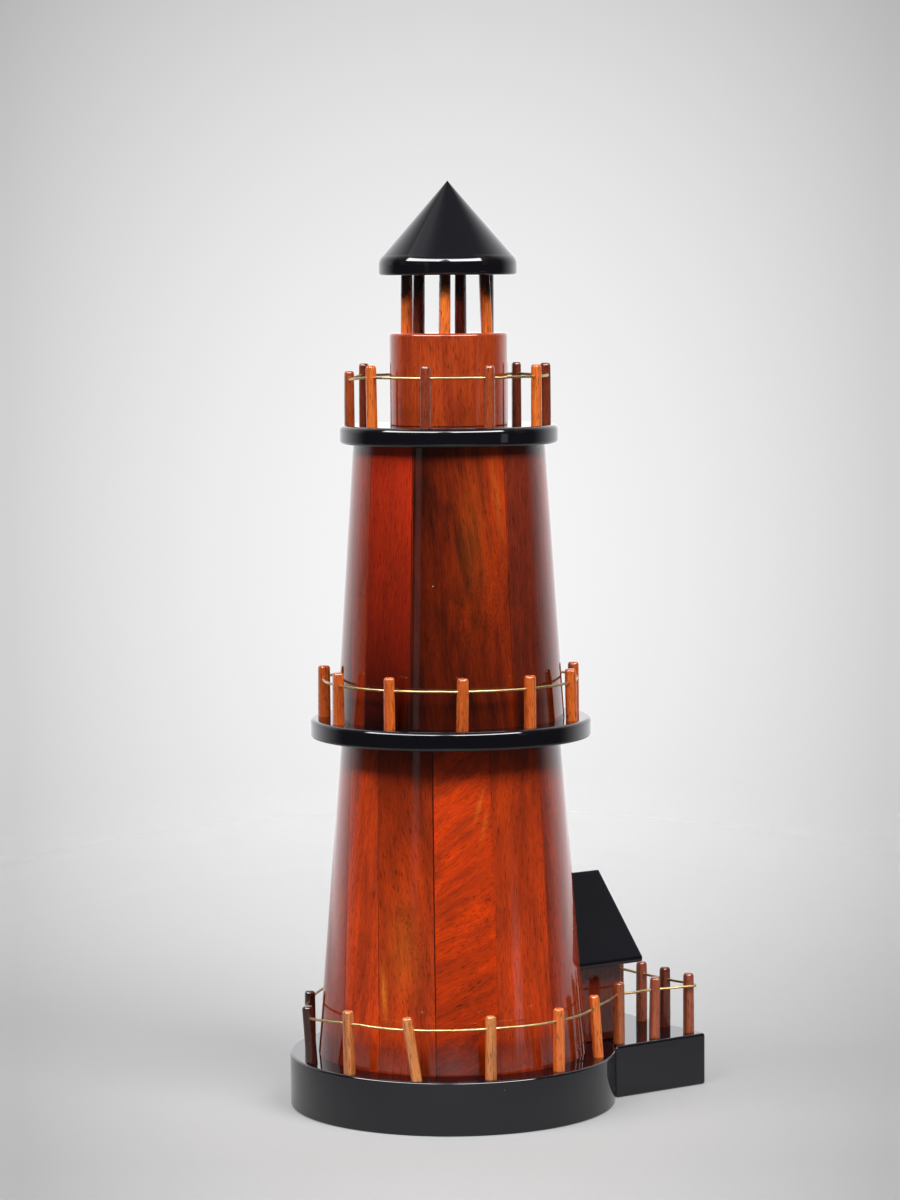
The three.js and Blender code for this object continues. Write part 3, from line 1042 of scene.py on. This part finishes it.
coated = first(tree, "GeometryNodeSetMaterial", {"Geometry": shaped, "Material": given["Finish"]})
fill(tree, result, {"Geometry": coated})
plant_tree = tree
print("planting tree:", len(tree.nodes), "nodes")

# %% Planting a row of pegs
HAIR = 0.05 * MM
WHITTLING = 0.32 * MM
BASE_PEG_HALF = 2.2 * MM


def run_tree(name, data, tree, settings):
    """Runs a Geometry Nodes tree on some data and puts the mesh it makes in the scene."""
    holder = put_in_scene(name, data)
    modifier = holder.modifiers.new("nodes", "NODES")
    modifier.node_group = tree
    for item in tree.interface.items_tree:
        if item.in_out == "INPUT" and item.name in settings:
            modifier[item.identifier] = settings[item.name]
    graph = bpy.context.evaluated_depsgraph_get()
    mesh = bpy.data.meshes.new_from_object(holder.evaluated_get(graph))
    bpy.data.objects.remove(holder)
    mesh.shade_smooth()
    return put_in_scene(name, mesh)


def plant(name, nodes, tones, half_width, seed, finish, line=peg_line):
    """Pegs for these nodes, each with its pair of light and dark tones."""
    lots = np.random.default_rng(seed)
    feet = bpy.data.meshes.new(name)
    lines = [line(node) for node in nodes]
    feet.from_pydata([foot for foot, top in lines], [], [])
    set_attributes(
        feet,
        lean=[(top - foot).normalized() for foot, top in lines],
        length=[(top - foot).length - HAIR for foot, top in lines],
        spin=lots.uniform(-0.5, 0.5, len(nodes)),
        lot=lots.uniform(0, 9, len(nodes)),
        light_wood=[light for light, dark in tones],
        dark_wood=[dark for light, dark in tones],
        seam=[0.0] * len(nodes),
        swirl=[0.5] * len(nodes),
    )
    settings = {
        "Peg": whittled,
        "Half width": half_width,
        "Whittling": WHITTLING,
        "Seed": float(seed),
        "Finish": finish,
    }
    pegs = run_tree(name, feet, plant_tree, settings)
    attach(pegs, "root")
    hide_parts(*nodes)
    print(name, len(nodes), "pegs,", len(pegs.data.polygons), "faces")


def numbered(prefix, last, pattern="{}_{:02d}"):
    return [pattern.format(prefix, i) for i in range(1, last + 1)]


BISCUIT = ((0.74, 0.26, 0.068, 1), (0.34, 0.090, 0.024, 1))
HONEY = ((0.85, 0.20, 0.030, 1), (0.50, 0.095, 0.018, 1))
COPPER = ((0.40, 0.092, 0.036, 1), (0.20, 0.040, 0.017, 1))
RUST = ((0.68, 0.140, 0.022, 1), (0.38, 0.064, 0.013, 1))
SIENNA = ((0.40, 0.070, 0.018, 1), (0.18, 0.032, 0.010, 1))
MAHOGANY = ((0.27, 0.048, 0.017, 1), (0.12, 0.022, 0.010, 1))
TOFFEE = ((0.44, 0.118, 0.036, 1), (0.21, 0.046, 0.017, 1))
WALNUT = ((0.20, 0.038, 0.016, 1), (0.090, 0.018, 0.010, 1))
SOOT = ((0.050, 0.012, 0.009, 1), EBONY)

base_nodes = numbered("base_post", 8) + numbered("terrace_post", 9)
base_nodes += ["base_post_09", "base_post_10"]
base_tones = [COPPER, SOOT, SOOT, BISCUIT, BISCUIT, BISCUIT, HONEY, HONEY]
base_tones += [TOFFEE, COPPER, COPPER, WALNUT, COPPER, WALNUT, COPPER, HONEY, BISCUIT]
base_tones += [COPPER, HONEY]
middle_nodes = numbered("middle_post", 11)
middle_tones = [HONEY, COPPER, *[RUST] * 7, COPPER, RUST]
top_nodes = numbered("top_post", 10)
top_tones = [HONEY, MAHOGANY, SIENNA, HONEY, MAHOGANY, SIENNA, HONEY, MAHOGANY, WALNUT, SIENNA]
plant("base_rail_pegs", base_nodes, base_tones, BASE_PEG_HALF, 3, peg_wood)
plant("middle_rail_pegs", middle_nodes, middle_tones, 2.4 * MM, 5, peg_wood)
plant("top_rail_pegs", top_nodes, top_tones, 2.08 * MM, 8, peg_wood)

# %% [markdown]
# The lantern's pillars are the same whittled sticks, longer, with both ends let into the wood.
# Painted shade, near black, darkens them a little way down from the roof, where its shadow falls.

# %% Lantern pillars
pillar_nodes = numbered("lantern_pillar", 6, "{}_{}")
pillar_tones = [COPPER, WALNUT, HONEY, HONEY, HONEY, WALNUT]


def pillar_line(node):
    """The middle of a pillar's two ends."""
    points = corners(node)
    order = points[:, 2].argsort()
    return Vector(points[order[:8]].mean(axis=0)), Vector(points[order[-8:]].mean(axis=0))


roof_foot = heights("roof_cone")[0]
pillar_wood = lacquered_wood(
    "pillar_wood",
    band_width=2.2,
    pore_depth=0.75,
    relief=0.9,
    dipped=True,
    painted_roof_shade=(roof_foot - 12 * MM, roof_foot - 6 * MM),
)
plant(
    "lantern_pillars",
    pillar_nodes,
    pillar_tones,
    2.3 * MM,
    13,
    pillar_wood,
    line=pillar_line,
)

# %% [markdown]
# ## Brass wire
#
# One wire is threaded through each rail. Geometry Nodes turn a closed path into wire: the path
# is smoothed, cut into even lengths, shaken a little because the wire was bent by hand, and
# given a round section. The path itself comes from the frame: it passes through each peg where
# the CAD wire does, bows out to the rail's circle between pegs round the tower, runs straight
# along the terrace, and goes round the outside of its corner pegs.

# %% The tree that draws wire
tree, given, result = new_group(
    "Draw wire",
    "GeometryNodeTree",
    {
        "Path": GEOMETRY,
        "Radius": FLOAT,
        "Length of a step": FLOAT,
        "Shake": FLOAT,
        "Finish": MATERIAL,
    },
    {"Geometry": GEOMETRY},
)
path_in = {"Curve": given["Path"]}
smooth_path = first(tree, "GeometryNodeCurveSplineType", path_in, spline_type="CATMULL_ROM")
even = {"Curve": smooth_path, "Length": given["Length of a step"]}
steps = first(tree, "GeometryNodeResampleCurve", even, mode="LENGTH")
tremor = add(tree, "ShaderNodeTexNoise", {"Scale": 62.0, "Detail": 1.0}).outputs["Color"]
centred = vector_maths(tree, "SUBTRACT", tremor, (0.5, 0.5, 0.5))
shaken = vector_maths(tree, "SCALE", centred, given["Shake"])
moved = first(tree, "GeometryNodeSetPosition", {"Geometry": steps, "Offset": shaken})
circle = {"Resolution": 12, "Radius": given["Radius"]}
section = first(tree, "GeometryNodeCurvePrimitiveCircle", circle)
swept = first(tree, "GeometryNodeCurveToMesh", {"Curve": moved, "Profile Curve": section})
real = first(tree, "GeometryNodeRealizeInstances", {0: swept})
coated = first(tree, "GeometryNodeSetMaterial", {"Geometry": real, "Material": given["Finish"]})
fill(tree, result, {"Geometry": coated})
wire_tree = tree
print("wire tree:", len(tree.nodes), "nodes")

# %% Wire paths
WIRE_RADIUS = 0.57 * MM
WIRE_SETTINGS = {
    "Radius": WIRE_RADIUS,
    "Length of a step": 1.1 * MM,
    "Shake": 0.5 * MM,
    "Finish": brass,
}
HUB_INSET = 20 * MM


def wire_stop(post, wire_points):
    """Where the wire meets a post: the hole, or None at a post that it passes outside."""
    foot, top = peg_line(post)
    along = np.array((top - foot).normalized())
    away = wire_points - np.array(foot)
    off_axis = np.linalg.norm(away - np.outer(away @ along, along), axis=1)
    inside = wire_points[off_axis < 1.5 * MM]
    return Vector(inside.mean(axis=0)) if len(inside) else None


def corner_bend(post, wire_points):
    """Points round the outside of a corner post, at the height of the wire near it."""
    foot, top = peg_line(post)
    hub_y = math.copysign(abs(top.y) - HUB_INSET, top.y)
    away = np.linalg.norm(wire_points[:, :2] - np.array(top)[:2], axis=1)
    height = wire_points[away.argsort()[:30], 2].mean()
    centre = foot.lerp(top, (height - foot.z) / (top.z - foot.z))
    facing = math.atan2(centre.y - hub_y, centre.x - (top.x - HUB_INSET))
    reach = BASE_PEG_HALF + WIRE_RADIUS + 0.25 * MM
    turns = [facing + math.radians(t) for t in (-54, -27, 0, 27, 54)]
    return [centre + Vector((math.cos(t), math.sin(t), 0)) * reach for t in turns]


def wire_path(wire_node, posts):
    wire_points = corners(wire_node)
    path = []
    for i, post in enumerate(posts):
        after = posts[(i + 1) % len(posts)]
        here, there = (wire_stop(p, wire_points) for p in (post, after))
        if here is None:
            path += corner_bend(post, wire_points)
            continue
        path.append(here)
        if there is not None:
            middle = here.lerp(there, 0.5)
            if not post.startswith("terrace") and not after.startswith("terrace"):
                bow = (here.xy.length + there.xy.length) / 2 / middle.xy.length
                middle = Vector((middle.x * bow, middle.y * bow, middle.z))
            path.append(middle)
    return path


def draw_wire(name, wire_node, posts):
    path = wire_path(wire_node, posts)
    line = bpy.data.curves.new(name, "CURVE")
    line.dimensions = "3D"
    spline = line.splines.new("POLY")
    spline.points.add(len(path) - 1)
    for point, spot in zip(spline.points, path):
        point.co = (*spot, 1)
    spline.use_cyclic_u = True
    wire = run_tree(name, line, wire_tree, WIRE_SETTINGS)
    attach(wire, "root")
    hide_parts(wire_node)
    print(name, len(path), "points,", len(wire.data.polygons), "faces")


draw_wire("base_rail_brass", "base_rail_wire", base_nodes)
draw_wire("middle_rail_brass", "middle_rail_wire", middle_nodes)
draw_wire("top_rail_brass", "top_rail_wire", top_nodes)

# %% [markdown]
# ## The hidden dowel
#
# The dowel through the stack can't be seen, and its CAD shape is right, so it only gets a
# finish: bare pale wood, with the same grain group reading the piece's own coordinates.

# %% Dowel
def bare_wood():
    made, tree, shader = new_material("bare_dowel")
    tones = {"Light wood": (0.62, 0.42, 0.23, 1), "Dark wood": (0.4, 0.24, 0.11, 1)}
    wood = {"Board": place_of(tree), **tones}
    colour = first(tree, "ShaderNodeGroup", wood, node_tree=wood_group)
    fill(tree, shader, {"Base Color": colour, "Roughness": 0.7})
    return made


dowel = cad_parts["centre_dowel"]
dowel.data.materials.clear()
dowel.data.materials.append(bare_wood())
bpy.data.objects.remove(whittled)
print("dowel finished")

# %% [markdown]
# ## Stage and light
#
# Gloss is only as good as what it reflects. The lighthouse stands on a disc of pale paper in a
# light tent: white behind and at the sides, which draws the bright rims down both edges of the
# towers, and dark in front and overhead, which keeps their faces and the roofs deep. The paper
# ends a little over a metre away, so only the lowest part of each glossy face mirrors it, and
# it fades out there, so the model can be seen from any side. The paper grows brighter toward the
# back and darker toward the sides, as a lit table does: both are painted, a glow of the paper's
# own toward the back, and painted shade toward the sides in its colour and glow.

# %% Floor
PAPER_RADIUS = 1.15
SIGHT = 0.118  # the sideways slope at which the stage is darkest

tree, given, result = new_group(
    "Side fall-off", "ShaderNodeTree", {"Slope": FLOAT}, {"Factor": FLOAT}
)
square = maths(tree, "POWER", maths(tree, "ABSOLUTE", given["Slope"]), 2.0)
fill(tree, result, {"Factor": ramp(tree, square, 0.0, SIGHT * SIGHT, 1.0, 0.70)})
fall_off = tree


def darker_aside(tree, across, along):
    """The fall-off for a direction that goes this far across for this far along."""
    slope = maths(tree, "DIVIDE", across, along)
    return first(tree, "ShaderNodeGroup", {"Slope": slope}, node_tree=fall_off)


def paper_finish():
    made, tree, shader = new_material("pale_paper")
    place = place_of(tree)
    spot = add(tree, "ShaderNodeSeparateXYZ", {0: place}).outputs
    # Painted shade: the paper's colour and glow darken toward the sides.
    aside = darker_aside(tree, spot["X"], maths(tree, "ADD", spot["Y"], CAMERA_DISTANCE))
    fibre = ramp(tree, streaks(tree, place, (700, 700, 700), detail=2), 0.3, 0.7, 0.295, 0.31)
    # Painted light: a glow of the paper's own, stronger toward the back, seen directly but not in
    # bounced light.
    behind = ramp(tree, spot["Y"], -0.12, 1.0, 0.15, 0.60)
    bounced = add(tree, "ShaderNodeLightPath").outputs["Is Diffuse Ray"]
    direct = maths(tree, "SUBTRACT", 1.0, bounced)
    glow = maths(tree, "MULTIPLY", maths(tree, "MULTIPLY", behind, aside), direct)
    narrow = vector_maths(tree, "MULTIPLY", place, (2.0, 1.0, 1.0))
    reach = vector_maths(tree, "LENGTH", narrow, output="Value")
    paper_look = {
        "Base Color": grey(tree, maths(tree, "MULTIPLY", fibre, aside)),
        "Emission Color": grey(tree, glow),
        "Emission Strength": 1.0,
        "Roughness": 0.9,
        "Specular IOR Level": 0.1,
        "Alpha": ramp(tree, reach, PAPER_RADIUS * 0.6, PAPER_RADIUS, 1.0, 0.0),
    }
    fill(tree, shader, paper_look)
    return made


bm = bmesh.new()
bmesh.ops.create_circle(bm, cap_ends=True, segments=96, radius=PAPER_RADIUS)
paper = finish_mesh("paper_disc", bm, paper_finish())
paper.matrix_world = swing
print("paper disc:", len(paper.data.polygons), "faces")

# %% [markdown]
# Two soft lamps stand high at the front, left and right: they leave the paired highlights on the
# rims and the shadows under the discs. The tent itself is the world, and its brightness depends
# on direction: bright behind and dark in front. Four patches are added to it: a slim one at the
# front left that shows as a faint streak down both towers, one far to the left, one high above
# it for the lit side of the cone, and a white card low at the front right. The lamps' faces and
# a thin strip between them are part of the tent too, for mirrored rays only, so how wide a
# highlight is can be chosen without changing how much light falls on the wood. The eye sees a
# soft grey backdrop instead, brightest behind the middle.

# %% Lamps and tent
LAMP_DISTANCE = 1.7
MIDDLE = Vector((0, 0, 0.2))


def from_viewer(azimuth, elevation):
    """A direction counted from the camera's side, positive to its right, and up."""
    a, e = math.radians(azimuth), math.radians(elevation)
    return swing @ Vector((math.sin(a) * math.cos(e), -math.cos(a) * math.cos(e), math.sin(e)))


def softbox(name, azimuth, elevation, width, height, power):
    """A rectangular lamp that faces the middle of the model."""
    light = bpy.data.lights.new(name, "AREA")
    light.shape = "RECTANGLE"
    light.size, light.size_y = width, height
    light.energy = power
    made = put_in_scene(name, light)
    away = from_viewer(azimuth, elevation)
    made.location = MIDDLE + away * LAMP_DISTANCE
    made.rotation_euler = (-away).to_track_quat("-Z", "Y").to_euler()
    made.visible_glossy = False


softbox("lamp_front_right", 36, 47, 0.9, 0.5, 29)
softbox("lamp_front_left", -47, 46, 1.5, 0.35, 26)

world = bpy.data.worlds.new("tent")
bpy.context.scene.world = world
world.use_nodes = True
sky = world.node_tree
toward = add(sky, "ShaderNodeTexCoord").outputs["Generated"]


def along_axis(direction):
    return vector_maths(sky, "DOT_PRODUCT", toward, direction, output="Value")


def times(a, b):
    return maths(sky, "MULTIPLY", a, b)


def plus(a, b):
    return maths(sky, "ADD", a, b)


def size_of(value):
    return maths(sky, "ABSOLUTE", value)


def soft_ramp(value, low, high, to_low, to_high):
    return ramp(sky, value, low, high, to_low, to_high, interpolation_type="SMOOTHSTEP")


def patch(azimuth, half_width, bottom, top, strength, softness=0.5):
    """A soft-edged upright patch of light in the tent, as a brightness."""
    sideways = along_axis(from_viewer(azimuth + 90, 0))
    inside = along_axis(from_viewer(azimuth, 0))
    half, low, high = (math.sin(math.radians(angle)) for angle in (half_width, bottom, top))
    edges = half * (1 - softness), half * (1 + softness * 0.6)
    band = soft_ramp(size_of(sideways), *edges, strength, 0.0)
    rise = soft_ramp(up, low - 0.02, low + 0.02, 0.0, 1.0)
    stop = soft_ramp(up, high - 0.08, high + 0.02, 1.0, 0.0)
    ahead = maths(sky, "GREATER_THAN", inside, 0.0)
    return times(times(band, ahead), times(rise, stop))


front, right = along_axis(from_viewer(0, 0)), along_axis(from_viewer(90, 0))
up = along_axis(Vector((0, 0, 1)))
mirrored = add(sky, "ShaderNodeLightPath").outputs["Is Glossy Ray"]
walls = times(soft_ramp(front, -0.85, -0.12, 1.05, 0.04), ramp(sky, mirrored, 0, 1, 1.0, 1.25))
tent = plus(walls, soft_ramp(up, 0.35, 0.8, 0.0, 0.15))
# Each patch: which way it lies, half its width, its bottom and top in degrees, and its strength.
for light_patch in (
    (-36, 4.0, -0.3, 14, 0.26),
    (-115, 9.0, 1, 20, 0.22),
    (-118, 20, 51.5, 76, 0.42),
    (60, 4.5, -4, -1.2, 1.5),
):
    tent = plus(tent, patch(*light_patch))
lamp_faces = plus(patch(34, 26, 27, 50, 24.0, 0.1), patch(-47, 29, 27, 50, 21.0, 0.1))
lamp_faces = plus(lamp_faces, patch(-5, 14, 29, 34, 9.0, 0.1))
tent = plus(tent, times(lamp_faces, mirrored))
tent_colour = first(sky, "ShaderNodeCombineColor", {0: tent, 1: tent, 2: times(tent, 1.03)})

backdrop_rise = plus(maths(sky, "DIVIDE", up, size_of(front)), 0.072)
height_squared = maths(sky, "POWER", size_of(backdrop_rise), 2.0)
backdrop = ramp(sky, height_squared, 0, 0.026, 0.92, 0.64)
seen = grey(sky, times(backdrop, darker_aside(sky, right, size_of(front))))
straight = add(sky, "ShaderNodeLightPath").outputs["Is Camera Ray"]
shown = blend_colour(sky, straight, tent_colour, seen)
fill(sky, sky.nodes["Background"], {"Color": shown})
bpy.context.scene.view_settings.view_transform = "Standard"
